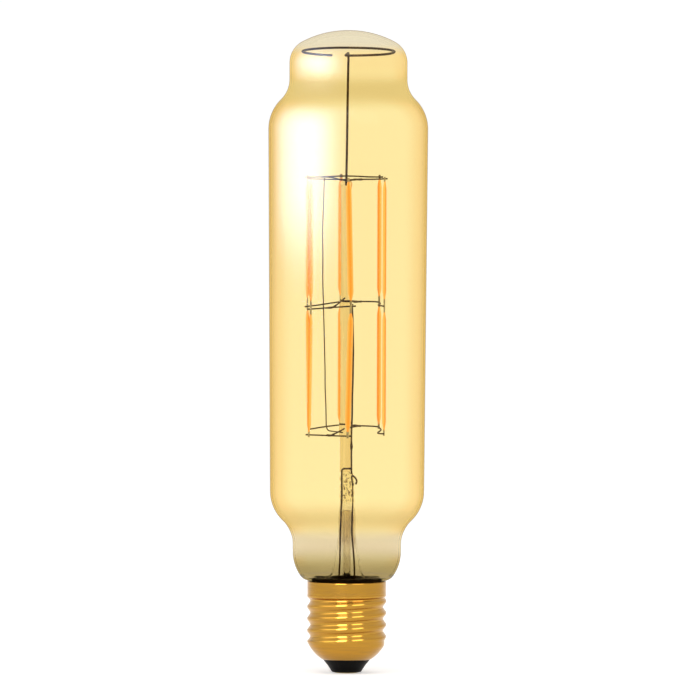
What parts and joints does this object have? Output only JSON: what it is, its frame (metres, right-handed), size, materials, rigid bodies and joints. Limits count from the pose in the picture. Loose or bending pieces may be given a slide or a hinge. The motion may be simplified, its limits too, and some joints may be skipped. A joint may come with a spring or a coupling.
{
  "type": "led light bulb",
  "caption": "Tubular amber glass LED filament bulb with a narrow domed top, a cage of upright filaments on a glass stem, and an E27 screw cap.",
  "frame": {"origin": "centre of the contact face, at the foot of the cap", "axes": "+Z along the bulb's axis from the contact to the dome; -Y is the front, +X is to the right"},
  "size_m": [0.0528, 0.0528, 0.2127],
  "materials": {
    "amber_glass": "clear amber tinted soda-lime glass, smooth",
    "stem_glass": "clear lead-free stem glass, slightly crinkled where pinched",
    "filament_coat": "orange-yellow phosphor silicone coat, satin",
    "tab_metal": "bare nickel-plated strip",
    "wire_metal": "bare nickel wire, slightly darkened by welding",
    "copper_wire": "tinned copper wire",
    "cap_brass": "lacquered brass, rolled, satin",
    "contact_metal": "stamped brass",
    "solder": "tin solder, smooth",
    "insulator_black": "black moulded insulator, semi-gloss",
    "cement": "dark basing cement, matte",
    "board": "pale laminate board, matte",
    "capacitor_sleeve": "dark shrink sleeve, gloss",
    "choke_body": "ferrite spool with a varnished winding",
    "chip_body": "black epoxy package, matte",
    "resistor_body": "pale green coat, gloss"
  },
  "bodies": {
    "root": {"bottom_anchor_front": "wire_metal", "bottom_anchor_rear": "wire_metal", "bottom_bar_front": "wire_metal", "bottom_bar_rear": "wire_metal", "bridge_rectifier": "chip_body", "cap_cement": "cement", "centre_contact": "contact_metal", "centre_rod": "stem_glass", "choke": "choke_body", "contact_solder": "solder", "contact_wire": "copper_wire", "dome_ring_wire": "wire_metal", "driver_board": "board", "driver_chip": "chip_body", "exhaust_tube": "stem_glass", "feed_wire": "wire_metal", "filament_lower_front": "filament_coat", "filament_lower_front_left": "filament_coat", "filament_lower_front_right": "filament_coat", "filament_lower_rear": "filament_coat", "filament_lower_rear_left": "filament_coat", "filament_lower_rear_right": "filament_coat", "filament_tabs_lower": "tab_metal", "filament_tabs_upper": "tab_metal", "filament_upper_front": "filament_coat", "filament_upper_front_left": "filament_coat", "filament_upper_front_right": "filament_coat", "filament_upper_rear": "filament_coat", "filament_upper_rear_left": "filament_coat", "filament_upper_rear_right": "filament_coat", "fuse_resistor": "resistor_body", "glass_envelope": "amber_glass", "insulator": "insulator_black", "lead_wire_left": "wire_metal", "lead_wire_right": "wire_metal", "middle_anchor_front": "wire_metal", "middle_anchor_rear": "wire_metal", "middle_bar_front": "wire_metal", "middle_bar_rear": "wire_metal", "riser_wire": "wire_metal", "screw_shell": "cap_brass", "shell_wire": "copper_wire", "smoothing_capacitor": "capacitor_sleeve", "stem_flare": "stem_glass", "top_anchor_front": "wire_metal", "top_anchor_rear": "wire_metal", "top_bar_front": "wire_metal", "top_bar_rear": "wire_metal"}
  },
  "joints": []
}
